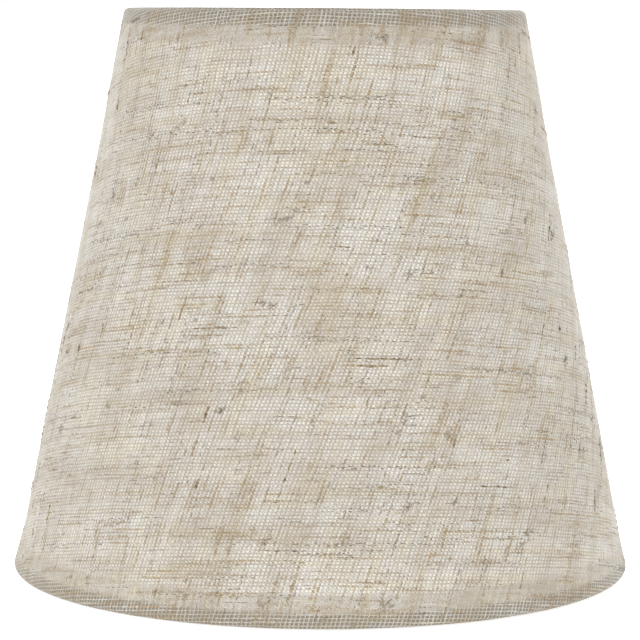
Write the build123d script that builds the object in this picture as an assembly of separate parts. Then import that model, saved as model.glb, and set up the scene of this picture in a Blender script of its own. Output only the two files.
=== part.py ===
from build123d import *
import math
import os

# Clip-on lamp shade: a truncated cone of linen laminated on a plastic liner, turned in over two
# wire rings, with a sprung clip inside that grips a candle bulb. Millimetres, +Z up. The origin is
# on the axis, in the plane that the bottom rim stands on. The clip's crossbar lies along X.

# Outer cloth
bottom_radius = 75.0      # where the straight side would meet the bottom plane
top_radius = 48.1         # where it would meet the top plane
height = 136.4
cloth_thickness = 0.45
hem_length = 7.5          # from each rim to the end of its turned-in edge, along the slant
hem_lead_angle = 35.0     # how sharply the turned-in cloth leaves the ring for the liner
hem_lead_radius = 2.0     # its bend where it meets the liner

# Liner
liner_thickness = 0.3
liner_gap_bottom = 1.5    # between the liner's lower edge and the bottom ring
liner_gap_top = 1.8       # between its upper edge and the top ring
liner_lap_width = 6.0     # the glued overlap at the back, at half height
liner_lap_clearance = 0.4  # between that overlap and the hems

# Wire rings
ring_wire_radius = 1.0

# Bulb clip
crossbar_wire_radius = 1.0
crossbar_drop = 18.4      # from the top plane to the crossbar's straight middle
crossbar_flat = 39.0      # between the two bends
crossbar_bend_radius = 5.0
weld_radius = 1.4
weld_offset = 0.6         # from the ring's surface to the middle of the bead
notch_radius = 1.9        # hole in the turned-in cloth round each crossbar end
notch_start = 0.2         # how far inside the ring's centre line that hole starts
notch_depth = 6.0
jaw_wire_radius = 0.7
coil_clearance = 0.06
coil_pitch = 1.45
coil_turns = 2.25
front_coil_start = 8.0    # along X, from the middle to where the leg leaves the coil
rear_coil_start = 13.0
leg_lead = 5.5            # straight run from the coil down
# One side of a jaw below its lead: across from the middle, out from the crossbar, down from it
jaw_shoulder = (13.6, 5.2, 17.0)
jaw_belly = (15.0, 5.0, 31.0)
jaw_toe = (9.5, 6.8, 44.5)
jaw_bend_radii = [8.0, 26.0, 22.0, 9.0]

side_angle = math.atan((bottom_radius - top_radius) / height)
ring_depth = cloth_thickness + ring_wire_radius
wrap_radius = ring_wire_radius + cloth_thickness / 2
hem_depth = cloth_thickness * 1.5 + liner_thickness
rim_offset = ring_wire_radius + cloth_thickness
# Places up the slant of the two ring centres
bottom_ring_slant = (rim_offset + ring_depth * math.sin(side_angle)) / math.cos(side_angle)
top_ring_slant = (height - rim_offset + ring_depth * math.sin(side_angle)) / math.cos(side_angle)
crossbar_height = height - crossbar_drop


def side_point(slant, depth):
    """A point up the side by slant and in from the cloth's outer face by depth, in the XZ plane."""
    radius = bottom_radius - slant * math.sin(side_angle) - depth * math.cos(side_angle)
    return (radius, 0, slant * math.cos(side_angle) - depth * math.sin(side_angle))


def ring(slant):
    """A wire ring inside the cloth whose section is centred up the side by slant."""
    radius, _, level = side_point(slant, ring_depth)
    return Pos(0, 0, level) * Torus(radius, ring_wire_radius)


def rim_edges(ring_slant, inward, offset):
    """One face of the cloth round a ring, from the straight side to the end of the hem.

    inward is 1 where the hem runs up the slant from its ring and -1 where it runs down it.
    offset is the distance of the face from the middle of the cloth, away from the ring."""
    lead = math.radians(hem_lead_angle)
    outer = wrap_radius + offset
    inner = hem_lead_radius - offset
    lead_depth = hem_depth + hem_lead_radius
    drop = ring_depth + (wrap_radius + hem_lead_radius) * math.cos(lead) - lead_depth
    lead_slant = (wrap_radius + hem_lead_radius) * math.sin(lead) + drop / math.tan(lead)

    def place(along, depth):
        return side_point(ring_slant + inward * along, depth)

    side_end = place(0, ring_depth - outer)
    wrap_end = place(outer * math.sin(lead), ring_depth + outer * math.cos(lead))
    lead_start = place(lead_slant - inner * math.sin(lead), lead_depth - inner * math.cos(lead))
    lead_middle = place(lead_slant - inner * math.sin(lead / 2), lead_depth - inner * math.cos(lead / 2))
    lead_end = place(lead_slant, lead_depth - inner)
    hem_end = place(hem_length - rim_offset, hem_depth + offset)
    return [
        ThreePointArc(side_end, place(-outer, ring_depth), wrap_end),
        Line(wrap_end, lead_start),
        ThreePointArc(lead_start, lead_middle, lead_end),
        Line(lead_end, hem_end),
    ]


def cloth_section():
    """The cloth's section, cut through the axis."""
    edges = []
    ends = []
    for offset in (-cloth_thickness / 2, cloth_thickness / 2):
        bottom = rim_edges(bottom_ring_slant, 1, offset)
        top = rim_edges(top_ring_slant, -1, offset)
        edges += bottom + top + [Line(bottom[0] @ 0, top[0] @ 0)]
        ends.append((bottom[-1] @ 1, top[-1] @ 1))
    edges += [Line(ends[0][side], ends[1][side]) for side in (0, 1)]
    return make_face(edges)


def crossbar_path():
    """The crossbar's centre line, from one side of the top ring to the other."""
    ring_radius, _, ring_level = side_point(top_ring_slant, ring_depth)
    half = crossbar_flat / 2
    points = [(-ring_radius, 0, ring_level), (-half, 0, crossbar_height)]
    points += [(-x, y, z) for x, y, z in reversed(points)]
    return FilletPolyline(*points, radius=crossbar_bend_radius)


def wire_along(path, radius):
    """A round wire swept along a path."""
    section = Plane(origin=path @ 0, z_dir=path % 0) * Circle(radius)
    return sweep(section, path=path)


def crossbar_end_tools(tool):
    """The same tool at both ends of the crossbar, its +Z pointing in along the wire."""
    path = crossbar_path()
    right_end = Plane(origin=path @ 1, z_dir=-(path % 1))
    left_end = Plane(origin=path @ 0, z_dir=path % 0)
    return [right_end * tool, left_end * tool]


def linen_cover():
    """The cloth, with a hole in its top hem round each end of the crossbar."""
    notch_height = notch_start + notch_depth / 2
    notch = Pos(0, 0, notch_height) * Cylinder(notch_radius, notch_depth)
    return revolve(cloth_section(), Axis.Z) - crossbar_end_tools(notch)


def liner_strip(low, high, depth, arc=360.0):
    """A band of liner between two places on the slant, turned through an arc centred on +Y."""
    corners = [(low, depth), (high, depth), (high, depth + liner_thickness), (low, depth + liner_thickness)]
    section = make_face(Polyline(*[side_point(*corner) for corner in corners], close=True))
    return revolve(section, Axis.Z, arc).rotate(Axis.Z, 90 - arc / 2)


def liner_shell():
    """The liner: one sheet, rolled and lapped on its inner side at the back, between the hems."""
    low = bottom_ring_slant + ring_wire_radius + liner_gap_bottom
    high = top_ring_slant - ring_wire_radius - liner_gap_top
    hem_reach = hem_length - rim_offset + liner_lap_clearance
    middle_radius = (bottom_radius + top_radius) / 2
    lap_arc = math.degrees(liner_lap_width / middle_radius)
    sheet = liner_strip(low, high, cloth_thickness)
    lap = liner_strip(
        bottom_ring_slant + hem_reach, top_ring_slant - hem_reach, cloth_thickness + liner_thickness, lap_arc
    )
    return sheet + lap


def clip_crossbar():
    """A bent wire across the top ring, cut to the ring's surface at both ends."""
    return wire_along(crossbar_path(), crossbar_wire_radius) - ring(top_ring_slant)


def crossbar_welds():
    """Two beads of weld, one round each joint of crossbar and ring."""
    bead = Pos(0, 0, ring_wire_radius + weld_offset) * Sphere(weld_radius)
    beads = [end - clip_crossbar() - ring(top_ring_slant) for end in crossbar_end_tools(bead)]
    return Compound(children=[solid for bead in beads for solid in bead.solids()])


def clip_jaw(coil_start):
    """The front jaw: a coil on the crossbar, down round the loop and up to the other coil."""
    coil_radius = crossbar_wire_radius + coil_clearance + jaw_wire_radius
    coil_path = Helix(coil_pitch, coil_pitch * coil_turns, coil_radius, direction=(1, 0, 0), lefthand=True)
    coil_path = Pos(coil_start, 0, crossbar_height) * coil_path.rotate(Axis.X, 90)
    coil = sweep(
        Plane(origin=coil_path @ 0, z_dir=coil_path % 0) * Circle(jaw_wire_radius),
        path=coil_path,
        is_frenet=True,
    )
    lead_end = coil_path @ 0 - (coil_path % 0) * leg_lead
    side = [tuple(coil_path @ 0), tuple(lead_end)]
    side += [(x, -out, crossbar_height - down) for x, out, down in (jaw_shoulder, jaw_belly, jaw_toe)]
    loop_points = side + [(-x, y, z) for x, y, z in reversed(side)]
    loop_path = FilletPolyline(*loop_points, radius=jaw_bend_radii + jaw_bend_radii[::-1])
    return wire_along(loop_path, jaw_wire_radius) + coil + mirror(coil, Plane.YZ)


nodes = {
    "linen_cover": linen_cover(),
    "liner_shell": liner_shell(),
    "bottom_ring": ring(bottom_ring_slant),
    "top_ring": ring(top_ring_slant),
    "clip_crossbar": clip_crossbar(),
    "crossbar_welds": crossbar_welds(),
    "clip_jaw_front": clip_jaw(front_coil_start),
    "clip_jaw_rear": clip_jaw(rear_coil_start).rotate(Axis.Z, 180),
}

os.makedirs("parts", exist_ok=True)
for name, shape in nodes.items():
    export_step(shape, f"parts/{name}.step")
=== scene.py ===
import math
import random

import bpy
import bmesh
from mathutils import Matrix, Vector, noise


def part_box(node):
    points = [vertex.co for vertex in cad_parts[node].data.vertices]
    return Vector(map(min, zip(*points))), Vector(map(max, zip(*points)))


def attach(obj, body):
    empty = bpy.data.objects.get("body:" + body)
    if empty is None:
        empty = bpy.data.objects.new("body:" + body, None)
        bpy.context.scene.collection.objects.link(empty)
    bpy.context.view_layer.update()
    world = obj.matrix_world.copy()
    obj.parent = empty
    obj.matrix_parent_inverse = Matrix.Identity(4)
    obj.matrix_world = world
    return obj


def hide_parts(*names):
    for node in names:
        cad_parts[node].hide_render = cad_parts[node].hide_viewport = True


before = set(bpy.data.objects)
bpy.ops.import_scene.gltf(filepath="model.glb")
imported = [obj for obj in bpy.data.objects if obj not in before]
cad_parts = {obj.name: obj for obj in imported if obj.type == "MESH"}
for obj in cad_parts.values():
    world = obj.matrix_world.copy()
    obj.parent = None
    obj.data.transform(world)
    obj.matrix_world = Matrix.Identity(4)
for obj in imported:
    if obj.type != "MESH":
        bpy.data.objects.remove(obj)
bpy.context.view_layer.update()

# A small clip-on shade of open, slubby linen over a white liner. Everything is in metres, in the
# CAD frame: +Z up, the axis at X = Y = 0, the front at -Y and the lapped seam at the back.

MM = 0.001

# Camera, in metres and radians; its lens and sensor are in mm
CAMERA_DISTANCE = 0.6926
CAMERA_HEIGHT = 0.1404
CAMERA_PITCH = 0.1147
CAMERA_ROLL = 0.0071
CAMERA_YAW = 0.00096
CAMERA_LENS = 159.9
CAMERA_SENSOR = 36

# Studio
FLOOR_HALF = 30.0
FLOOR_DROP = 0.4 * MM            # below Z = 0, for the slack cloth at the bottom edge
FLOOR_GLOW = 0.6
SKY_LIGHT = 1.02
LIGHT_AIM = (0, 0, 0.07)
# Name, place, side and watts
SOFTBOXES = (
    ("key_softbox", (-1.3, -1.7, 1.7), 1.2, 31),
    ("fill_softbox", (1.8, -1.2, 1.2), 1.2, 12),
    ("back_softbox", (0.4, 2.0, 1.8), 1.4, 17),
)

# Cloth
WEFT_PITCH = 0.78 * MM
WARP_PITCH = 1.00 * MM
HEM_LENGTH = 7.5 * MM            # from each rim to the cut edge inside, along the slant
HEM_LEAD_ANGLE = math.radians(35)
HEM_LEAD_RADIUS = 2.0 * MM
HEM_CLEARANCE = 0.05 * MM        # between the turned-in cloth and the liner
LAP_WIDTH = 8.0 * MM             # the cloth's two ends overlap this much at the back
LAP_STEP = 3 * MM                # the outer end climbs over the inner one within this width
LAP_FOLD = 5.0 * MM              # the outer end is folded under by this much
FOLD_THICKNESS = 0.35 * MM
FOLD_STEP = 0.8 * MM
LAP_AT_RIM = 0.06                # how much of the lap's thickness stands out at the rims
LAP_FADE = 4 * MM                # from each ring to where all of it does
PULL = 0.05 * MM                 # slight waves of the stretched cloth
PULL_ROUND = 7                   # their pace, per radian round the cone
PULL_UP = 160                    # and per metre up it
# The warp leans to the right going up, most at LEAN_CENTRE above the bottom edge
LEAN_SLOPE = 0.39
LEAN_CENTRE = 60 * MM
LEAN_FALL = 32.0                 # how fast the slope falls away from there, per square metre
# The cloth stands out a little at both sides of the bottom edge and all round below the top ring,
# and it hangs a little lower at the left, where it is slack. Spreads are in radians each way.
LEFT_FLARE = 0.8 * MM
RIGHT_FLARE = 0.35 * MM
FLARE_HEIGHT = 9 * MM
FLARE_SPREAD = 1.0
SLACK = 0.42 * MM
SLACK_HEIGHT = 4 * MM
SLACK_MIDDLE = -1.15             # the angle from the front, in radians
SLACK_SPREAD = 1.7
TOP_FLARE = 0.32 * MM
TOP_FLARE_HEIGHT = 36 * MM
COVER_COLUMNS = 480              # faces round the cover
COVER_ROWS = 28                  # faces up its straight side
WRAP_STEPS = 26                  # faces round a ring
LEAD_STEPS = 6                   # and round the bend onto the liner

# Liner
LINER_THICKNESS = 0.3 * MM
LINER_GAP_BOTTOM = 1.5 * MM      # between the liner's edges and the rings
LINER_GAP_TOP = 1.8 * MM
LINER_LAP = 6.0 * MM
LINER_LAP_STEP = 1.5 * MM        # its inner end climbs over the other within this width
LINER_LAP_START = 6.0 * MM       # from each ring to where it steps in, at the hem's cut edge
LINER_COLUMNS = 240              # faces round the liner and up it
LINER_ROWS = 39

# Loose and thick yarns that stand out of the weave. Lengths are in yarn spacings and half widths
# in mm. A pair is the range that a value is drawn from, and a longer row is a choice.
YARN_FLATNESS = 0.75             # height of a loose yarn's section, as a share of its width
SLUBS = 360
SLUB_STEPS = 3                   # points for each yarn that a slub crosses
SLUB_LENGTHS = (3, 4, 5, 7, 9, 12, 16)
SLUB_HALF_WIDTHS = (0.10, 0.22)
SLUBS_ALONG_WEFT = 0.55
SLUB_DIP = 0.10 * MM
FAT_SHARE = 0.22                 # of the slubs, short fat ones
FAT_LENGTHS = (2, 3, 5, 7)
FAT_HALF_WIDTHS = (0.22, 0.34)
FAT_ALONG_WEFT = 0.35
FAT_TONES = (0.25, 0.55)
FIBRE_RUNS = 700
FIBRES_ALONG_WEFT = 0.62
WEFT_RUNS = (3, 6, 10, 18, 30)
WARP_RUNS = (2, 3, 5, 8, 13)
DASHES = (0.4, 1.3)
DASH_GAPS = (0.0, 0.8)
DASH_STEPS = 3
FIBRE_HALF_WIDTHS = (0.055, 0.14)
FIBRE_TONES = (0.55, 1.10)
FIBRE_RISE = 0.08 * MM
CURLS = 60
CURL_STEPS = (5, 6, 8, 10)
CURL_STEP = 0.4                  # in warp spacings
CURL_RISE = 0.06 * MM
CURL_HALF_WIDTHS = (0.03, 0.06)
CURL_TONES = (0.2, 0.9)
KNOTS = 110
KNOTS_ALONG_WEFT = 0.6
KNOT_FIBRES = (3, 5, 7, 9)
KNOT_STEPS = (4, 5, 6)
KNOT_HALF_WIDTHS = (0.04, 0.08)
KNOT_TONES = (0.35, 0.80)
FRAY_SPACING = 1.25 * MM
FRAY_HALF_WIDTH = 0.15 * MM
FRAY_LENGTHS = (0.5, 1.7)        # in mm
FRAY_STEPS = 4

BEAD_STRETCH = 0.25              # a weld bead is this much longer along the ring

# Colours, linear
YARN_PALE = (0.398, 0.374, 0.331)
YARN_DEEP = (0.296, 0.272, 0.232)
YARN_TAN = (0.262, 0.199, 0.118)
YARN_BROWN = (0.085, 0.060, 0.038)
# The cloth's colour is multiplied by these in its cooler and warmer clouds
COOL_TINT = (0.925, 0.935, 0.970)
WARM_TINT = (0.890, 0.842, 0.640)
# Painted light and shade in the weave's gaps: the liner as lit through them, the liner in the painted
# shade of the hem behind it, and the painted shadow at the ring
GAP_LINER_SHADED = (0.510, 0.484, 0.432)
GAP_HEM_SHADE = (0.365, 0.338, 0.288)
GAP_RING_SHADOW = (0.158, 0.149, 0.127)
SHEEN_TINT = (1.0, 0.98, 0.94)
WARP_SHADE = 0.94                # the warp yarns are a little darker than the weft
LINER_WHITE = (0.86, 0.85, 0.82)
RING_STEEL = (0.66, 0.65, 0.62)
BAR_STEEL = (0.64, 0.63, 0.60)
SPRING_STEEL = (0.70, 0.69, 0.66)
WELD_STEEL = (0.42, 0.40, 0.38)
TARNISH = (0.30, 0.25, 0.19)
TARNISH_SPOT = (0.16, 0.12, 0.09)
HEAT_STRAW = (0.46, 0.31, 0.13)
HEAT_BLUE = (0.13, 0.14, 0.22)
FLOOR_WHITE = (0.86, 0.86, 0.86)

# Half widths of the yarns in the weave, as shares of their spacing
YARN_THIN = 0.14
YARN_THICK = 0.26
SLUB_SWELL = 0.10
# Heights in the weave's relief, in units of BUMP_DEPTH
YARN_ROUND = 0.5                 # the round top of a yarn
CRIMP_RISE = 0.38                # a yarn's rise over a crossing one, and its dip under the next
GAP_FLOOR = -1.2
BUMP_DEPTH = 0.12 * MM

CLOTH_ATTRIBUTE = "cloth"        # warp number, weft number and distance up the slant in mm
TONE_ATTRIBUTE = "tone"          # from 0, pale, to 1, dark


# ---------------------------------------------------------------- geometry of the shade's side

def ring_section(node):
    """(radius of the centre line, height, wire radius) of a CAD wire ring."""
    low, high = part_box(node)
    wire = (high.z - low.z) / 2
    return high.x - wire, (high.z + low.z) / 2, wire


BOTTOM_RING, BOTTOM_RING_Z, RING_WIRE = ring_section("bottom_ring")
TOP_RING, TOP_RING_Z, _ = ring_section("top_ring")
CLOTH_THICKNESS = BOTTOM_RING_Z - RING_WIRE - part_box("linen_cover")[0].z
RING_DEPTH = CLOTH_THICKNESS + RING_WIRE
SIDE_ANGLE = math.atan((BOTTOM_RING - TOP_RING) / (TOP_RING_Z - BOTTOM_RING_Z))
SIN_SIDE = math.sin(SIDE_ANGLE)
COS_SIDE = math.cos(SIDE_ANGLE)
# Radius at which the cloth's outer face would meet the floor, and its distance from the cone's apex
FOOT_RADIUS = BOTTOM_RING + RING_DEPTH / COS_SIDE + BOTTOM_RING_Z * math.tan(SIDE_ANGLE)
FOOT_REACH = FOOT_RADIUS / SIN_SIDE
BOTTOM_RING_SLANT = (BOTTOM_RING_Z + RING_DEPTH * SIN_SIDE) / COS_SIDE
TOP_RING_SLANT = (TOP_RING_Z + RING_DEPTH * SIN_SIDE) / COS_SIDE
HEM_REACH = HEM_LENGTH - RING_WIRE - CLOTH_THICKNESS    # from each ring to the hem's cut edge


def side_point(slant, depth):
    """(radius, height) of a point up the side by slant and in from the cloth's outer face by depth."""
    radius = FOOT_RADIUS - slant * SIN_SIDE - depth * COS_SIDE
    return Vector((radius, slant * COS_SIDE - depth * SIN_SIDE))


def turned(radius_height, angle):
    """A 3-D point at a radius and height, turned round the axis from the front towards +X."""
    radius, height = radius_height
    return Vector((radius * math.sin(angle), -radius * math.cos(angle), height))


def thread_numbers(slant, angle):
    """(warp number, weft number) of the cloth at a place on the cone, from its flat pattern."""
    reach = FOOT_REACH - slant
    across = reach * math.sin(angle * SIN_SIDE)
    up = FOOT_REACH - reach * math.cos(angle * SIN_SIDE)
    lean = LEAN_SLOPE * up - LEAN_FALL * (up - LEAN_CENTRE) ** 3 / 3
    return (across - lean) / WARP_PITCH, up / WEFT_PITCH


def place_of_thread(warp, weft):
    """(slant, angle) on the cone of a place on the cloth: the reverse of thread_numbers."""
    up = weft * WEFT_PITCH
    lean = LEAN_SLOPE * up - LEAN_FALL * (up - LEAN_CENTRE) ** 3 / 3
    across = warp * WARP_PITCH + lean
    reach = math.hypot(across, FOOT_REACH - up)
    return FOOT_REACH - reach, math.atan2(across, FOOT_REACH - up) / SIN_SIDE


def smooth_step(value):
    """0 up to 0, 1 from 1 on, and an S-shaped curve between."""
    value = min(1.0, max(0.0, value))
    return value * value * (3 - 2 * value)


def beside_ring(distance, reach):
    """1 where the side meets a ring, down to 0 by reach along the side and 4 mm round the ring."""
    gone_round = (distance + 1 * MM) / (3 * MM)
    return smooth_step(1 - distance / reach) * smooth_step(1 + gone_round)


def stand_out(slant, angle):
    """How far the cloth stands out from a straight cone, by its slant on the flat cloth."""
    corner = LEFT_FLARE * smooth_step(1 - abs(angle + math.pi / 2) / FLARE_SPREAD)
    corner += RIGHT_FLARE * smooth_step(1 - abs(angle - math.pi / 2) / FLARE_SPREAD)
    corner *= beside_ring(slant - BOTTOM_RING_SLANT, FLARE_HEIGHT)
    return corner + TOP_FLARE * beside_ring(TOP_RING_SLANT - slant, TOP_FLARE_HEIGHT)


def hang_down(slant, angle):
    """How much lower the slack cloth hangs, by its slant on the flat cloth."""
    drop = SLACK * beside_ring(slant - BOTTOM_RING_SLANT, SLACK_HEIGHT)
    return drop * smooth_step(1 - abs(angle - SLACK_MIDDLE) / SLACK_SPREAD)


# ---------------------------------------------------------------- meshes

def new_object(name, mesh, body="shade"):
    """A mesh put in the scene, riding on a body where one is given."""
    piece = bpy.data.objects.new(name, mesh)
    bpy.context.scene.collection.objects.link(piece)
    if body:
        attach(piece, body)
    return piece


def smooth(mesh):
    """Smooth shading on every face."""
    mesh.polygons.foreach_set("use_smooth", [True] * len(mesh.polygons))


def rim_profile(ring_slant, inward):
    """The middle of the cloth round a ring as (slant, depth, path) from the side to the hem's end.

    inward is 1 where the hem runs up from its ring and -1 where it runs down. path is the
    distance gone along the cloth since it left the straight side."""
    wrap = RING_WIRE + CLOTH_THICKNESS / 2
    hem_depth = CLOTH_THICKNESS * 1.5 + LINER_THICKNESS + HEM_CLEARANCE
    lead_depth = hem_depth + HEM_LEAD_RADIUS
    reach = wrap + HEM_LEAD_RADIUS
    drop = RING_DEPTH + reach * math.cos(HEM_LEAD_ANGLE) - lead_depth
    lead_slant = reach * math.sin(HEM_LEAD_ANGLE) + drop / math.tan(HEM_LEAD_ANGLE)
    points = []
    for step in range(1, WRAP_STEPS + 1):
        turn = (math.pi + HEM_LEAD_ANGLE) * step / WRAP_STEPS
        points.append((-wrap * math.sin(turn), RING_DEPTH - wrap * math.cos(turn)))
    for step in range(LEAD_STEPS + 1):
        turn = HEM_LEAD_ANGLE * (1 - step / LEAD_STEPS)
        points.append((
            lead_slant - HEM_LEAD_RADIUS * math.sin(turn),
            lead_depth - HEM_LEAD_RADIUS * math.cos(turn),
        ))
    points.append((lead_slant * 0.4 + HEM_REACH * 0.6, hem_depth))
    points.append((HEM_REACH, hem_depth))
    result = []
    path = 0.0
    before = (0.0, RING_DEPTH - wrap)
    for along, depth in points:
        path += math.hypot(along - before[0], depth - before[1])
        before = (along, depth)
        result.append((ring_slant + inward * along, depth, path))
    return result


def cloth_profile():
    """The middle of the cloth, hem to hem, as (slant on the cone, depth, slant on the flat cloth)."""
    bottom = rim_profile(BOTTOM_RING_SLANT, 1)
    top = rim_profile(TOP_RING_SLANT, -1)
    side = []
    for step in range(COVER_ROWS + 1):
        slant = BOTTOM_RING_SLANT + (TOP_RING_SLANT - BOTTOM_RING_SLANT) * step / COVER_ROWS
        side.append((slant, CLOTH_THICKNESS / 2, slant))
    low = [(slant, depth, BOTTOM_RING_SLANT - path) for slant, depth, path in reversed(bottom)]
    high = [(slant, depth, TOP_RING_SLANT + path) for slant, depth, path in top]
    return low + side + high


def closed_sheet(name, columns, rows, place):
    """A thin closed mesh from place(column, row, face), face 1 outside and 0 inside.

    place gives a point and the cloth numbers that the materials read there."""
    vertices = []
    numbers = []
    for column in range(columns):
        for row in range(rows):
            for face in (0, 1):
                point, number = place(column, row, face)
                vertices.append(point)
                numbers.append(number)

    def index(column, row, face):
        return (column * rows + row) * 2 + face

    faces = []
    for column in range(columns - 1):
        for row in range(rows - 1):
            for face in (0, 1):
                faces.append([index(column, row, face), index(column + 1, row, face),
                              index(column + 1, row + 1, face), index(column, row + 1, face)])
        for row in (0, rows - 1):
            faces.append([index(column, row, 0), index(column + 1, row, 0),
                          index(column + 1, row, 1), index(column, row, 1)])
    for row in range(rows - 1):
        for column in (0, columns - 1):
            faces.append([index(column, row, 0), index(column, row + 1, 0),
                          index(column, row + 1, 1), index(column, row, 1)])
    mesh = bpy.data.meshes.new(name)
    mesh.from_pydata(vertices, [], faces)
    attribute = mesh.attributes.new(CLOTH_ATTRIBUTE, "FLOAT_VECTOR", "POINT")
    attribute.data.foreach_set("vector", [value for number in numbers for value in number])
    work = bmesh.new()
    work.from_mesh(mesh)
    bmesh.ops.recalc_face_normals(work, faces=work.faces)
    work.to_mesh(mesh)
    work.free()
    smooth(mesh)
    return mesh


def cover_mesh():
    """The linen as one closed sheet: side, rolled rims, turned-in hems and the lap at the back."""
    profile = cloth_profile()
    rows = len(profile)
    normals = []
    for row in range(rows):
        before = Vector(profile[max(row - 1, 0)][:2])
        after = Vector(profile[min(row + 1, rows - 1)][:2])
        along = (after - before).normalized()
        normals.append(Vector((along.y, -along.x)))

    def place(column, row, face):
        slant, depth, flat_slant = profile[row]
        radius = side_point(slant, depth).x
        end_angle = math.pi + LAP_WIDTH / 2 / radius
        angle = (2 * column / COVER_COLUMNS - 1) * end_angle
        from_end = (end_angle - angle) * radius
        from_ring = min(flat_slant - BOTTOM_RING_SLANT, TOP_RING_SLANT - flat_slant)
        on_side = LAP_AT_RIM + (1 - LAP_AT_RIM) * smooth_step(from_ring / LAP_FADE)
        lift = CLOTH_THICKNESS * smooth_step((LAP_WIDTH + LAP_STEP - from_end) / LAP_STEP)
        fold = FOLD_THICKNESS * smooth_step((LAP_FOLD - from_end) / FOLD_STEP) * face
        pull = PULL * noise.noise(Vector((angle * PULL_ROUND, slant * PULL_UP, 3.1)))
        shift = (face - 0.5) * CLOTH_THICKNESS + (lift + fold) * on_side + pull
        flare = stand_out(flat_slant, angle)
        normal = normals[row]
        point = side_point(slant + normal.x * shift, depth + normal.y * shift - flare)
        point.y -= hang_down(flat_slant, angle)
        return turned(point, angle), (*thread_numbers(flat_slant, angle), flat_slant / MM)

    return closed_sheet("linen_cover_sheet", COVER_COLUMNS + 1, rows, place)


def liner_mesh():
    """The white sheet behind the cloth, its inner end lapped over at the back."""
    low = BOTTOM_RING_SLANT + RING_WIRE + LINER_GAP_BOTTOM
    high = TOP_RING_SLANT - RING_WIRE - LINER_GAP_TOP

    def place(column, row, face):
        slant = low + (high - low) * row / LINER_ROWS
        depth = CLOTH_THICKNESS + LINER_THICKNESS / 2
        radius = side_point(slant, depth).x
        end_angle = math.pi + LINER_LAP / 2 / radius
        angle = (2 * column / LINER_COLUMNS - 1) * end_angle
        from_end = (end_angle - angle) * radius
        from_ring = min(slant - BOTTOM_RING_SLANT, TOP_RING_SLANT - slant)
        step_in = LINER_THICKNESS * smooth_step((LINER_LAP + LINER_LAP_STEP - from_end) / LINER_LAP_STEP)
        step_in *= smooth_step((from_ring - LINER_LAP_START) / MM)
        inward = step_in + (0.5 - face) * LINER_THICKNESS
        point = side_point(slant, depth + inward)
        return turned(point, angle), (*thread_numbers(slant, angle), slant / MM)

    return closed_sheet("liner_sheet", LINER_COLUMNS + 1, LINER_ROWS + 1, place)


def on_cloth(warp, weft, height):
    """(point, outward normal) over the cloth's outer face at a warp and weft number."""
    slant, angle = place_of_thread(warp, weft)
    point = turned(side_point(slant, -height - stand_out(slant, angle)), angle)
    return point, turned(Vector((COS_SIDE, SIN_SIDE)), angle)


def strands_mesh(name, strands, sides):
    """Thin tapered tubes. Each strand is a list of (point, normal, half width, tone)."""
    mesh = bpy.data.meshes.new(name)
    vertices = []
    faces = []
    tones = []
    for strand in strands:
        first = len(vertices)
        last = len(strand) - 1
        for step, (point, normal, half_width, tone) in enumerate(strand):
            along = (strand[min(step + 1, last)][0] - strand[max(step - 1, 0)][0]).normalized()
            across = along.cross(normal).normalized()
            taper = math.sqrt(math.sin(math.pi * (step + 0.5) / (last + 1)))
            for side in range(sides):
                turn = 2 * math.pi * side / sides
                wide = math.cos(turn) * half_width * taper
                high = math.sin(turn) * half_width * taper * YARN_FLATNESS
                vertices.append(point + across * wide + normal * high)
                tones.append(tone)
        for step in range(last):
            ring = first + step * sides
            for side in range(sides):
                after = (side + 1) % sides
                faces.append((ring + side, ring + after, ring + sides + after, ring + sides + side))
        faces.append(tuple(range(first + sides - 1, first - 1, -1)))
        faces.append(tuple(range(first + last * sides, first + (last + 1) * sides)))
    mesh.from_pydata(vertices, [], faces)
    attribute = mesh.attributes.new(TONE_ATTRIBUTE, "FLOAT", "POINT")
    attribute.data.foreach_set("value", tones)
    smooth(mesh)
    return mesh


def random_place(chance):
    """A warp and a weft number somewhere on the straight side, evenly over its area."""
    margin = 2 * MM
    far = FOOT_REACH - (BOTTOM_RING_SLANT + margin)
    near = FOOT_REACH - (TOP_RING_SLANT - margin)
    reach = math.sqrt(near * near + (far * far - near * near) * chance.random())
    clear_of_seam = 0.985
    return thread_numbers(FOOT_REACH - reach, chance.uniform(-math.pi, math.pi) * clear_of_seam)


def on_side_only(place):
    """Whether a (warp, weft) place is on the straight side and not past the seam."""
    slant, angle = place_of_thread(*place)
    margin = 0.5 * MM
    inside = BOTTOM_RING_SLANT - margin < slant < TOP_RING_SLANT + margin
    return inside and abs(angle) < math.pi


def yarn_point(warp, weft, along_weft, gone, aside):
    """The threads' place gone cells along one yarn from (warp, weft), and aside of its middle."""
    if along_weft:
        return warp + gone, math.floor(weft) + 0.5 + aside
    return math.floor(warp) + 0.5 + aside, weft + gone


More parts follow.
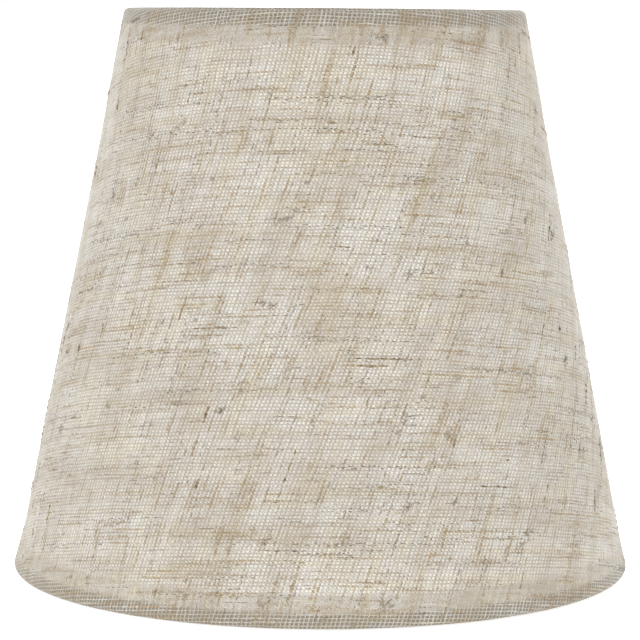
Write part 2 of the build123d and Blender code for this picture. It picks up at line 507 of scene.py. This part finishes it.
def slub_strands():
    """Thick stretches of single yarns that dip under each crossing yarn."""
    chance = random.Random(4)
    strands = []
    while len(strands) < SLUBS:
        warp, weft = random_place(chance)
        along_weft = chance.random() < SLUBS_ALONG_WEFT
        length = chance.choice(SLUB_LENGTHS)
        half_width = chance.uniform(*SLUB_HALF_WIDTHS) * MM
        tone = 0.7 * chance.random() ** 1.8
        if chance.random() < FAT_SHARE:
            length = chance.choice(FAT_LENGTHS)
            along_weft = chance.random() < FAT_ALONG_WEFT
            half_width = chance.uniform(*FAT_HALF_WIDTHS) * MM
            tone = chance.uniform(*FAT_TONES)
        drift = chance.uniform(-0.15, 0.15)
        steps = []
        for step in range(length * SLUB_STEPS + 1):
            gone = step / SLUB_STEPS
            lumps = noise.noise(Vector((gone * 0.9, len(strands) * 3.3, 0.5)))
            aside = drift + 0.10 * math.sin(gone * 1.3 + length)
            place = yarn_point(math.floor(warp), math.floor(weft), along_weft, gone, aside)
            if not on_side_only(place):
                break
            height = math.sin(math.pi * gone) * SLUB_DIP
            steps.append((*on_cloth(*place, height), half_width * (1 + 0.9 * lumps), tone + lumps * 0.5))
        if len(steps) > 2 * SLUB_STEPS:
            strands.append(steps)
    return strands


def fibre_strands():
    """Dark coarse fibres along single yarns, broken into dashes where they dip into the weave."""
    chance = random.Random(9)
    strands = []
    for _ in range(FIBRE_RUNS):
        warp, weft = random_place(chance)
        along_weft = chance.random() < FIBRES_ALONG_WEFT
        run = chance.choice(WEFT_RUNS if along_weft else WARP_RUNS)
        half_width = chance.uniform(*FIBRE_HALF_WIDTHS) * MM
        tone = chance.uniform(*FIBRE_TONES)
        stray = chance.gauss(0, 0.05)
        gone = 0.0
        while gone < run:
            dash = chance.uniform(*DASHES)
            aside = chance.choice((-0.3, 0.3, 0.3)) + chance.gauss(0, 0.06)
            tilt = chance.gauss(stray, 0.06)
            dark = tone + chance.uniform(-0.25, 0.25)
            steps = []
            for step in range(DASH_STEPS + 1):
                ahead = dash * step / DASH_STEPS
                place = yarn_point(warp, weft, along_weft, gone + ahead, aside + tilt * ahead)
                if not on_side_only(place):
                    break
                height = math.sin(math.pi * step / DASH_STEPS) * FIBRE_RISE - half_width / 2
                steps.append((*on_cloth(*place, height), half_width, dark))
            if len(steps) > DASH_STEPS:
                strands.append(steps)
            gone += dash + chance.uniform(*DASH_GAPS)
    return strands


def curl(chance, warp, weft, heading, bend, half_width, tone, length):
    """One free fibre of up to length steps over the cloth, turning by about bend at each."""
    steps = []
    for _ in range(length):
        if not on_side_only((warp, weft)):
            break
        steps.append((*on_cloth(warp, weft, half_width + CURL_RISE), half_width, tone))
        heading += bend + chance.gauss(0, 0.15)
        warp += math.cos(heading) * CURL_STEP
        weft += math.sin(heading) * CURL_STEP * WARP_PITCH / WEFT_PITCH
    return steps


def curl_strands():
    """A few free fibres that curl over the cloth."""
    chance = random.Random(21)
    strands = []
    while len(strands) < CURLS:
        warp, weft = random_place(chance)
        heading = chance.choice((0.0, math.pi / 2)) + chance.gauss(0, 0.5)
        bend = chance.gauss(0, 0.25)
        half_width = chance.uniform(*CURL_HALF_WIDTHS) * MM
        tone = chance.uniform(*CURL_TONES)
        length = chance.choice(CURL_STEPS)
        steps = curl(chance, warp, weft, heading, bend, half_width, tone, length)
        if len(steps) > 4:
            strands.append(steps)
    return strands


def knot_strands():
    """Small dark tangles of coarse fibre in the weave, each spread along one set of yarns."""
    chance = random.Random(33)
    strands = []
    for _ in range(KNOTS):
        warp, weft = random_place(chance)
        along_weft = chance.random() < KNOTS_ALONG_WEFT
        spread = chance.uniform(0.3, 1.3)
        tone = chance.uniform(*KNOT_TONES)
        for _ in range(chance.choice(KNOT_FIBRES)):
            far = chance.gauss(0, spread)
            near = chance.gauss(0, 0.35)
            across, up = (far, near) if along_weft else (near, far)
            heading = (0.0 if along_weft else math.pi / 2) + chance.gauss(0, 0.45)
            half_width = chance.uniform(*KNOT_HALF_WIDTHS) * MM
            bend = chance.gauss(0, 0.5)
            fibre_tone = tone + chance.gauss(0, 0.15)
            length = chance.choice(KNOT_STEPS)
            steps = curl(chance, warp + across, weft + up, heading, bend, half_width, fibre_tone, length)
            if len(steps) > 3:
                strands.append(steps)
    return strands


def fray_strands():
    """Cut yarn ends along the inner edges of both hems."""
    chance = random.Random(12)
    strands = []
    profile = cloth_profile()
    for row, inward in ((0, 1), (-1, -1)):
        slant, depth, _ = profile[row]
        radius = side_point(slant, depth).x
        count = int(2 * math.pi * radius / FRAY_SPACING)
        for number in range(count):
            angle = 2 * math.pi * (number + chance.uniform(-0.3, 0.3)) / count
            length = chance.uniform(*FRAY_LENGTHS) * MM
            skew = chance.gauss(0, 0.35) * length / radius
            tone = chance.random() * 0.5
            normal = turned(Vector((-COS_SIDE, -SIN_SIDE)), angle)
            steps = []
            for step in range(FRAY_STEPS + 1):
                gone = step / FRAY_STEPS
                rise = chance.uniform(0.0, 0.12) * MM * gone
                point = side_point(slant + inward * length * gone, depth + rise)
                steps.append((turned(point, angle + skew * gone), normal, FRAY_HALF_WIDTH, tone))
            strands.append(steps)
    return strands


def bead_mesh(name, centres, radius):
    """Weld beads: flattened balls with the ripples of the melt."""
    work = bmesh.new()
    for seed, centre in enumerate(centres):
        ball = bmesh.ops.create_icosphere(work, subdivisions=4, radius=1.0)
        for vertex in ball["verts"]:
            way = vertex.co.normalized()
            swirl = 3 * noise.noise(way * 1.7 + Vector((seed * 5.1, 0, 0)))
            ripple = 0.05 * math.sin(9 * way.y + swirl)
            lump = 0.16 * noise.noise(way * 2.3 + Vector((0, seed * 3.7, 0)))
            vertex.co = Vector(centre) + way * radius * (0.95 + ripple + lump)
            vertex.co.y += way.y * radius * BEAD_STRETCH
    mesh = bpy.data.meshes.new(name)
    work.to_mesh(mesh)
    work.free()
    smooth(mesh)
    return mesh


# ---------------------------------------------------------------- material building

class Graph:
    """A material's node tree, with a short call for each kind of node."""

    def __init__(self, name):
        self.material = bpy.data.materials.new(name)
        self.material.use_nodes = True
        self.tree = self.material.node_tree
        self.shader = self.tree.nodes["Principled BSDF"]

    def put(self, socket, value):
        """Link a socket into this one, or give it a plain value."""
        if isinstance(value, bpy.types.NodeSocket):
            self.tree.links.new(value, socket)
        elif isinstance(value, tuple) and len(value) == 3 and socket.type == "RGBA":
            socket.default_value = (*value, 1.0)
        else:
            socket.default_value = value

    def math(self, operation, first, second=0.0, third=0.0):
        """The result of one of Blender's maths operations on values or sockets."""
        node = self.tree.nodes.new("ShaderNodeMath")
        node.operation = operation
        for socket, value in zip(node.inputs, (first, second, third)):
            self.put(socket, value)
        return node.outputs[0]

    def add(self, first, second):
        return self.math("ADD", first, second)

    def sub(self, first, second):
        return self.math("SUBTRACT", first, second)

    def mul(self, first, second):
        return self.math("MULTIPLY", first, second)

    def scaled(self, value, factor, offset):
        """value times factor, plus offset."""
        return self.math("MULTIPLY_ADD", value, factor, offset)

    def ramp(self, value, low, high, to_low=0.0, to_high=1.0):
        """value as it goes smoothly from low to high, given out as to_low to to_high."""
        node = self.tree.nodes.new("ShaderNodeMapRange")
        node.interpolation_type = "SMOOTHSTEP"
        for socket, number in zip(node.inputs, (value, low, high, to_low, to_high)):
            self.put(socket, number)
        return node.outputs[0]

    def vector(self, x, y, z=0.0):
        node = self.tree.nodes.new("ShaderNodeCombineXYZ")
        for socket, value in zip(node.inputs, (x, y, z)):
            self.put(socket, value)
        return node.outputs[0]

    def noise(self, place, scale, detail, roughness=0.5):
        """Smooth noise round 0.5; scale is about how many waves go in one unit of the place."""
        node = self.tree.nodes.new("ShaderNodeTexNoise")
        self.put(node.inputs["Vector"], place)
        node.inputs["Scale"].default_value = scale
        node.inputs["Detail"].default_value = detail
        node.inputs["Roughness"].default_value = roughness
        return node.outputs["Fac"]

    def over_cloth(self, warp, across, weft, up, seed, detail=3.0):
        """Noise that changes by the rates across and up with the warp and weft numbers."""
        place = self.vector(self.mul(warp, across), self.mul(weft, up), seed)
        return self.noise(place, 1.0, detail)

    def spots(self, place):
        """(distance to the nearest cell's point, a random number for that cell)."""
        node = self.tree.nodes.new("ShaderNodeTexVoronoi")
        self.put(node.inputs["Vector"], place)
        node.inputs["Scale"].default_value = 1.0
        split = self.tree.nodes.new("ShaderNodeSeparateColor")
        self.put(split.inputs[0], node.outputs["Color"])
        return node.outputs["Distance"], split.outputs[0]

    def speckle(self, place):
        """A random number from 0 to 1 for each whole-numbered place."""
        node = self.tree.nodes.new("ShaderNodeTexWhiteNoise")
        self.put(node.inputs["Vector"], place)
        return node.outputs["Value"]

    def mix(self, factor, first, second):
        """A colour that is first where factor is 0 and second where it is 1."""
        node = self.tree.nodes.new("ShaderNodeMix")
        node.data_type = "RGBA"
        for number, value in ((0, factor), (6, first), (7, second)):
            self.put(node.inputs[number], value)
        return node.outputs[2]

    def times(self, colour, factor):
        """A colour made lighter or darker by a factor."""
        node = self.tree.nodes.new("ShaderNodeVectorMath")
        node.operation = "SCALE"
        self.put(node.inputs[0], colour)
        self.put(node.inputs["Scale"], factor)
        return node.outputs[0]

    def tinted(self, colour, tint):
        """A colour with each channel multiplied by the tint's."""
        node = self.tree.nodes.new("ShaderNodeVectorMath")
        node.operation = "MULTIPLY"
        self.put(node.inputs[0], colour)
        self.put(node.inputs[1], tint)
        return node.outputs[0]

    def position(self):
        """The place on the object, in metres."""
        return self.tree.nodes.new("ShaderNodeTexCoord").outputs["Object"]

    def parts(self, vector):
        """The x, y and z of a vector."""
        node = self.tree.nodes.new("ShaderNodeSeparateXYZ")
        self.put(node.inputs[0], vector)
        return node.outputs

    def number(self, name):
        """A mesh's own attribute of one number."""
        node = self.tree.nodes.new("ShaderNodeAttribute")
        node.attribute_name = name
        return node.outputs["Fac"]

    def numbers(self, name):
        """A mesh's own attribute of three numbers."""
        node = self.tree.nodes.new("ShaderNodeAttribute")
        node.attribute_name = name
        return self.parts(node.outputs["Vector"])

    def bump(self, height, distance, strength):
        """Relief in which a height of 1 stands distance above 0."""
        node = self.tree.nodes.new("ShaderNodeBump")
        self.put(node.inputs["Height"], height)
        node.inputs["Distance"].default_value = distance
        node.inputs["Strength"].default_value = strength
        self.put(self.shader.inputs["Normal"], node.outputs[0])

    def set(self, **inputs):
        """The finished material, with values or sockets given to the shader's inputs."""
        for name, value in inputs.items():
            self.put(self.shader.inputs[name.replace("_", " ")], value)
        return self.material


def yarn_look(graph, number, along, across, crimp, seed):
    """One set of yarns: (height, how far inside a yarn, colour, dark stretch beside the yarn, partly
    painted shadow).

    number counts the yarns, along goes on them and across is measured from a yarn's middle.
    crimp is 1 where the yarn is over the crossing one and -1 where it is under."""
    def varying(spread, pace, shift, detail=2.0):
        place = graph.vector(graph.mul(number, spread), graph.mul(along, pace), seed + shift)
        return graph.noise(place, 1.0, detail)

    slub = graph.ramp(varying(2.13, 0.06, 6.0, 1.0), 0.59, 0.70)
    half = graph.ramp(varying(3.71, 0.14, 0.0), 0.25, 0.75, YARN_THIN, YARN_THICK)
    half = graph.add(half, graph.mul(slub, SLUB_SWELL))
    share = graph.math("DIVIDE", across, half)
    round_top = graph.math("SQRT", graph.math("MAXIMUM", graph.sub(1.0, graph.mul(share, share)), 0.0))
    inside = graph.ramp(graph.math("ABSOLUTE", share), 0.80, 1.12, 1.0, 0.0)
    height = graph.add(graph.mul(round_top, YARN_ROUND), graph.mul(crimp, CRIMP_RISE))

    colour = graph.mix(graph.ramp(varying(5.3, 0.07, 12.0), 0.3, 0.7), YARN_PALE, YARN_DEEP)
    broken = graph.ramp(varying(2.9, 0.70, 18.0), 0.40, 0.58, 0.2, 1.0)
    colour = graph.mix(graph.mul(slub, broken), colour, YARN_TAN)
    coarse = graph.ramp(varying(1.77, 0.09, 24.0, 1.0), 0.58, 0.68)
    dashes = graph.ramp(varying(2.37, 0.85, 30.0, 1.0), 0.44, 0.56)
    coarse = graph.mul(coarse, dashes)
    # A painted shadow line along one side of the yarn, drawn in the coarse stretches
    beside = graph.ramp(graph.math("ABSOLUTE", graph.sub(across, 0.24)), 0.06, 0.22, 1.0, 0.0)
    return height, inside, colour, graph.mul(coarse, beside)


def wander(graph, warp, weft, seed):
    """How far a yarn has wandered across its own direction, in yarn spacings."""
    place = graph.vector(graph.mul(warp, 0.05), graph.mul(weft, 0.05), seed)
    return graph.scaled(graph.noise(place, 2.0, 4.0, 0.6), 0.9, -0.45)


def weave_look(graph, warp, weft):
    """Two sets of yarns, over and under: (height, how far covered, colour, dark stretches that are
    partly painted shadow).
    """
    warp_number = graph.math("FLOOR", warp)
    weft_number = graph.math("FLOOR", weft)
    across_warp = graph.sub(graph.sub(warp, warp_number), 0.5)
    across_weft = graph.sub(graph.sub(weft, weft_number), 0.5)
    # 1 where the warp yarn is over the weft and -1 where it is under
    over = graph.scaled(graph.math("PINGPONG", graph.add(warp_number, weft_number), 1.0), 2.0, -1.0)
    warp_crimp = graph.mul(graph.math("COSINE", graph.mul(across_weft, math.pi)), over)
    weft_crimp = graph.mul(graph.math("COSINE", graph.mul(across_warp, math.pi)), graph.mul(over, -1.0))
    warp_height, in_warp, warp_colour, warp_dark = yarn_look(
        graph, warp_number, weft, across_warp, warp_crimp, 0.0)
    weft_height, in_weft, weft_colour, weft_dark = yarn_look(
        graph, weft_number, warp, across_weft, weft_crimp, 40.0)

    warp_top = graph.add(graph.mul(graph.sub(warp_height, GAP_FLOOR), in_warp), GAP_FLOOR)
    weft_top = graph.add(graph.mul(graph.sub(weft_height, GAP_FLOOR), in_weft), GAP_FLOOR)
    height = graph.math("MAXIMUM", warp_top, weft_top)
    warp_shows = graph.ramp(graph.sub(warp_top, weft_top), -0.08, 0.08)
    covered = graph.math("MAXIMUM", in_warp, in_weft)
    colour = graph.mix(warp_shows, weft_colour, graph.times(warp_colour, WARP_SHADE))
    # Painted shade in the low places of the relief and a painted highlight on the yarns' tops
    colour = graph.times(colour, graph.ramp(height, -0.5, 0.85, 0.54, 1.16))
    return height, covered, colour, graph.math("MAXIMUM", warp_dark, weft_dark)


def painted_gap_shade(graph, warp, weft, from_ring):
    """The colour in the gaps, in painted light and shade: the liner over most of the side as lit
    through the gaps, and painted shade where the hem is behind it.

    from_ring is in mm up or down the cloth from the nearer ring. A painted shadow of the ring and of the
    open gap next to it shows there, and past the roll it is the liner again."""
    hem_end = HEM_REACH / MM
    # Painted shade where the hem lies behind the liner, and painted shadow at the ring and the open gap
    # beside it
    past_hem = graph.ramp(from_ring, hem_end - 0.8, hem_end + 0.8)
    colour = graph.mix(past_hem, GAP_HEM_SHADE, GAP_LINER_SHADED)
    colour = graph.mix(graph.ramp(from_ring, 1.4, 2.6), GAP_RING_SHADOW, colour)
    colour = graph.mix(graph.ramp(from_ring, -5.4, -4.6), GAP_LINER_SHADED, colour)
    gap_numbers = [graph.math("FLOOR", graph.add(number, 0.5)) for number in (warp, weft)]
    return graph.times(colour, graph.scaled(graph.speckle(graph.vector(*gap_numbers)), 0.20, 0.90))


def with_clouds(graph, colour, warp, weft, across_band):
    """Cloudy bands of denser and warmer cloth along both sets of yarns."""
    up_band = graph.over_cloth(warp, 0.15, weft, 0.02, 41.0)
    patch = graph.over_cloth(warp, 0.045, weft, 0.04, 47.0)
    bands = graph.add(graph.ramp(up_band, 0.35, 0.75), graph.ramp(across_band, 0.35, 0.75))
    bands = graph.add(bands, graph.ramp(patch, 0.40, 0.75, 0.0, 0.6))
    clouded = graph.times(colour, graph.scaled(bands, -0.05, 1.12))
    colour = graph.mix(graph.mul(bands, 0.19), clouded, YARN_TAN)
    warm_across = graph.over_cloth(warp, 0.035, weft, 0.24, 71.0)
    warm_up = graph.over_cloth(warp, 0.22, weft, 0.035, 73.0)
    warmth = graph.math("MAXIMUM", warm_across, warm_up)
    tint = graph.mix(graph.ramp(warmth, 0.46, 0.68, 0.0, 0.34), COOL_TINT, WARM_TINT)
    return graph.tinted(colour, tint)


def with_rough_places(graph, colour, warp, weft, covered):
    """Places where a few neighbouring yarns are thick and tan, with knotty edges, and a fine grain."""
    place = graph.position()
    grain = graph.noise(place, 2600.0, 3.0)
    knots = graph.noise(place, 1100.0, 2.0)
    rough_warp = graph.add(warp, graph.scaled(knots, 3.0, -1.5))
    rough_weft = graph.add(weft, graph.scaled(knots, -3.0, 1.5))
    across_thick = graph.over_cloth(warp, 0.045, rough_weft, 0.55, 53.0, 2.0)
    up_thick = graph.over_cloth(rough_warp, 0.50, weft, 0.06, 59.0, 2.0)
    thick = graph.math("MAXIMUM", graph.ramp(across_thick, 0.57, 0.68), graph.ramp(up_thick, 0.58, 0.69))
    thick_colour = graph.mix(graph.ramp(grain, 0.48, 0.64, 0.0, 0.65), YARN_TAN, YARN_BROWN)
    thick = graph.mul(thick, graph.ramp(graph.add(grain, knots), 0.80, 1.20, 0.20, 1.0))
    thick = graph.mul(thick, graph.scaled(covered, 0.45, 0.48))
    colour = graph.mix(thick, colour, thick_colour)
    return graph.times(colour, graph.scaled(grain, 0.44, 0.80))


def with_nubs(graph, colour, warp, weft, across_band):
    """Small dark nubs scattered over the cloth."""
    nub_warp = graph.add(graph.mul(warp, 0.13), graph.mul(across_band, 0.7))
    distance, chance = graph.spots(graph.vector(nub_warp, graph.mul(weft, 0.16)))
    nub = graph.mul(graph.ramp(distance, 0.05, 0.13, 1.0, 0.0), graph.ramp(chance, 0.72, 0.80))
    return graph.mix(graph.mul(nub, 0.5), colour, YARN_BROWN)


def linen_material():
    """Open plain weave: two sets of slubby yarns, with painted light and shade in the gaps: the liner as
    lit there, and the painted shadow of the ring.
    """
    graph = Graph("linen_weave")
    warp, weft, slant = graph.numbers(CLOTH_ATTRIBUTE)
    warp = graph.add(warp, wander(graph, warp, weft, 0.0))
    weft = graph.add(weft, wander(graph, warp, weft, 7.3))
    # In mm from each ring; the painted shadow band at the top one reaches 0.5 mm further down the side
    from_bottom = graph.sub(slant, BOTTOM_RING_SLANT / MM)
    from_top = graph.sub(TOP_RING_SLANT / MM, slant)
    from_ring = graph.math("MINIMUM", from_bottom, graph.sub(from_top, 0.5))
    height, covered, yarn_colour, dark = weave_look(graph, warp, weft)
    colour = graph.mix(covered, painted_gap_shade(graph, warp, weft, from_ring), yarn_colour)
    # Dark stretches beside single yarns, where the flax is coarse: partly dark flax, partly a painted
    # shadow line along one side of the yarn
    colour = graph.mix(graph.mul(dark, 0.70), colour, YARN_BROWN)
    across_band = graph.over_cloth(warp, 0.02, weft, 0.14, 43.0)
    colour = with_clouds(graph, colour, warp, weft, across_band)
    # Paler towards the bottom edge, as painted light from below, and a little darker on both rolled rims
    colour = graph.times(colour, graph.ramp(from_bottom, 0.0, 24.0, 1.10, 1.0))
    colour = graph.times(colour, graph.ramp(from_ring, 0.0, 2.5, 0.95, 1.0))
    colour = with_rough_places(graph, colour, warp, weft, covered)
    colour = with_nubs(graph, colour, warp, weft, across_band)

    graph.bump(height, BUMP_DEPTH, 0.6)
    return graph.set(Base_Color=colour, Roughness=0.92, Sheen_Weight=0.35, Sheen_Roughness=0.35,
                     Sheen_Tint=SHEEN_TINT, Specular_IOR_Level=0.15)


def loose_yarn_material():
    """Thick yarns and fibres that stand out of the weave, from pale flax to dark brown."""
    graph = Graph("loose_yarn")
    tone = graph.number(TONE_ATTRIBUTE)
    place = graph.position()
    fuzz = graph.noise(place, 5200.0, 3.0)
    blotch = graph.noise(place, 900.0, 2.0)
    tone = graph.add(tone, graph.scaled(graph.noise(place, 2200.0, 2.0), 1.2, -0.6))
    colour = graph.mix(graph.ramp(tone, 0.0, 0.55), YARN_PALE, YARN_TAN)
    colour = graph.mix(graph.ramp(tone, 0.5, 1.0), colour, YARN_BROWN)
    colour = graph.times(colour, graph.scaled(graph.add(fuzz, blotch), 0.5, 0.5))
    graph.bump(fuzz, 0.03 * MM, 0.6)
    return graph.set(Base_Color=colour, Roughness=0.9, Sheen_Weight=0.3, Specular_IOR_Level=0.15)


def liner_material():
    """Thin white plastic sheet with a fine satin grain, through which the weave faintly prints."""
    graph = Graph("liner_plastic")
    place = graph.position()
    grain = graph.noise(place, 3800.0, 2.0)
    mottle = graph.noise(place, 60.0, 3.0)
    warp, weft, _ = graph.numbers(CLOTH_ATTRIBUTE)
    print_through = graph.over_cloth(warp, 0.8, weft, 0.8, 0.0, 1.0)
    tone = graph.scaled(graph.add(mottle, print_through), 0.06, 0.90)
    graph.bump(graph.add(graph.mul(grain, 0.5), print_through), 0.02 * MM, 0.5)
    roughness = graph.ramp(graph.add(mottle, graph.mul(grain, 0.3)), 0.3, 0.9, 0.34, 0.5)
    return graph.set(Base_Color=graph.times(LINER_WHITE, tone), Roughness=roughness,
                     Specular_IOR_Level=0.5)


def wire_material(name, colour, polish, tarnish, weld_reach=None):
    """Plated wire with drawing marks and a little tarnish; weld_reach gives heat colours near |X|."""
    graph = Graph(name)
    place = graph.position()
    marks = graph.noise(place, 4200.0, 3.0, 0.7)
    blotch = graph.noise(place, 300.0, 3.0)
    spot = graph.ramp(graph.noise(place, 1500.0, 2.0), 0.62, 0.72)
    tone = graph.mix(graph.mul(graph.ramp(blotch, 0.45, 0.75), tarnish), colour, TARNISH)
    tone = graph.mix(graph.mul(spot, tarnish), tone, TARNISH_SPOT)
    if weld_reach:
        reach = graph.math("ABSOLUTE", graph.parts(place)[0])
        reach = graph.add(reach, graph.scaled(blotch, 0.8 * MM, -0.4 * MM))
        # Straw from 7 mm before the weld, turning blue from 4 mm before it
        straw = graph.ramp(reach, weld_reach - 7 * MM, weld_reach - 4 * MM)
        blue = graph.ramp(reach, weld_reach - 4 * MM, weld_reach - 2.4 * MM)
        tone = graph.mix(graph.mul(straw, 0.7), tone, HEAT_STRAW)
        tone = graph.mix(graph.mul(blue, 0.7), tone, HEAT_BLUE)
    graph.bump(marks, 0.02 * MM, 0.4)
    roughness = graph.ramp(graph.add(marks, graph.mul(blotch, 0.6)), 0.5, 1.1, polish, polish + 0.2)
    return graph.set(Base_Color=tone, Metallic=1.0, Roughness=roughness)


def floor_material():
    """Plain white floor with a faint unevenness."""
    graph = Graph("studio_floor")
    grain = graph.noise(graph.position(), 40.0, 4.0)
    tone = graph.ramp(grain, 0.2, 0.8, 0.97, 1.0)
    return graph.set(Base_Color=graph.times(FLOOR_WHITE, tone), Roughness=0.7,
                     Emission_Color=(1.0, 1.0, 1.0), Emission_Strength=FLOOR_GLOW)


# ---------------------------------------------------------------- pieces

def make_cover():
    """The linen, as one sheet."""
    cover = new_object("linen_cover_cloth", cover_mesh())
    cover.data.materials.append(linen_material())
    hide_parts("linen_cover")


def make_liner():
    """The white sheet behind the linen."""
    liner = new_object("liner_sheet", liner_mesh())
    liner.data.materials.append(liner_material())
    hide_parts("liner_shell")


def make_loose_yarns():
    """Everything that stands out of the weave or of the hems' cut edges."""
    material = loose_yarn_material()
    for name, strands, sides in (
            ("linen_slubs", slub_strands(), 5),
            ("linen_fibres", fibre_strands(), 3),
            ("linen_curls", curl_strands() + knot_strands(), 4),
            ("hem_fray", fray_strands(), 4)):
        yarns = new_object(name, strands_mesh(name, strands, sides))
        yarns.data.materials.append(material)


def make_metal():
    """The weld beads, and the looks of the CAD's own wires."""
    low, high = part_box("crossbar_welds")
    radius = (high.z - low.z) / 2
    reach = high.x - radius
    middle = (high.z + low.z) / 2
    beads = bead_mesh("weld_beads", [(-reach, 0, middle), (reach, 0, middle)], radius)
    welds = new_object("weld_beads", beads)
    welds.data.materials.append(wire_material("weld_metal", WELD_STEEL, 0.34, 0.6, reach))
    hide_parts("crossbar_welds")

    plated = wire_material("ring_wire", RING_STEEL, 0.22, 0.35)
    bar = wire_material("bar_wire", BAR_STEEL, 0.24, 0.3, reach)
    spring = wire_material("spring_wire", SPRING_STEEL, 0.16, 0.2)
    for node, material in (
            ("top_ring", plated), ("bottom_ring", plated), ("clip_crossbar", bar),
            ("clip_jaw_front", spring), ("clip_jaw_rear", spring)):
        for slot in bpy.data.objects[node].material_slots:
            slot.material = material


# ---------------------------------------------------------------- studio

def make_floor():
    """A plain pale floor."""
    floor_mesh = bpy.data.meshes.new("floor")
    signs = ((-1, -1), (1, -1), (1, 1), (-1, 1))
    corners = [(x * FLOOR_HALF, y * FLOOR_HALF, 0) for x, y in signs]
    floor_mesh.from_pydata(corners, [], [(0, 1, 2, 3)])
    floor = new_object("studio_floor", floor_mesh, body=None)
    floor.location.z = -FLOOR_DROP
    floor_mesh.materials.append(floor_material())


def make_lights():
    """An even white sky and three softboxes aimed at the shade."""
    world = bpy.data.worlds.new("studio")
    bpy.context.scene.world = world
    world.use_nodes = True
    background = world.node_tree.nodes["Background"]
    background.inputs["Color"].default_value = (1, 1, 1, 1)
    background.inputs["Strength"].default_value = SKY_LIGHT
    for name, place, size, power in SOFTBOXES:
        light = bpy.data.lights.new(name, "AREA")
        light.shape = "SQUARE"
        light.size = size
        light.energy = power
        lamp = bpy.data.objects.new(name, light)
        bpy.context.scene.collection.objects.link(lamp)
        lamp.location = place
        aim = Vector(LIGHT_AIM) - Vector(place)
        lamp.rotation_euler = aim.to_track_quat("-Z", "Y").to_euler()


def make_camera():
    """A camera in front of the shade, a little above it and looking slightly down."""
    camera_data = bpy.data.cameras.new("camera")
    camera_data.lens = CAMERA_LENS
    camera_data.sensor_width = CAMERA_SENSOR
    camera = bpy.data.objects.new("camera", camera_data)
    bpy.context.scene.collection.objects.link(camera)
    turn = (Matrix.Rotation(CAMERA_YAW, 4, "Z") @ Matrix.Rotation(math.pi / 2 - CAMERA_PITCH, 4, "X")
            @ Matrix.Rotation(CAMERA_ROLL, 4, "Z"))
    camera.matrix_world = Matrix.Translation((0, -CAMERA_DISTANCE, CAMERA_HEIGHT)) @ turn
    bpy.context.scene.camera = camera
    bpy.context.scene.view_settings.view_transform = "Standard"


make_cover()
make_liner()
make_loose_yarns()
make_metal()
make_floor()
make_lights()
make_camera()
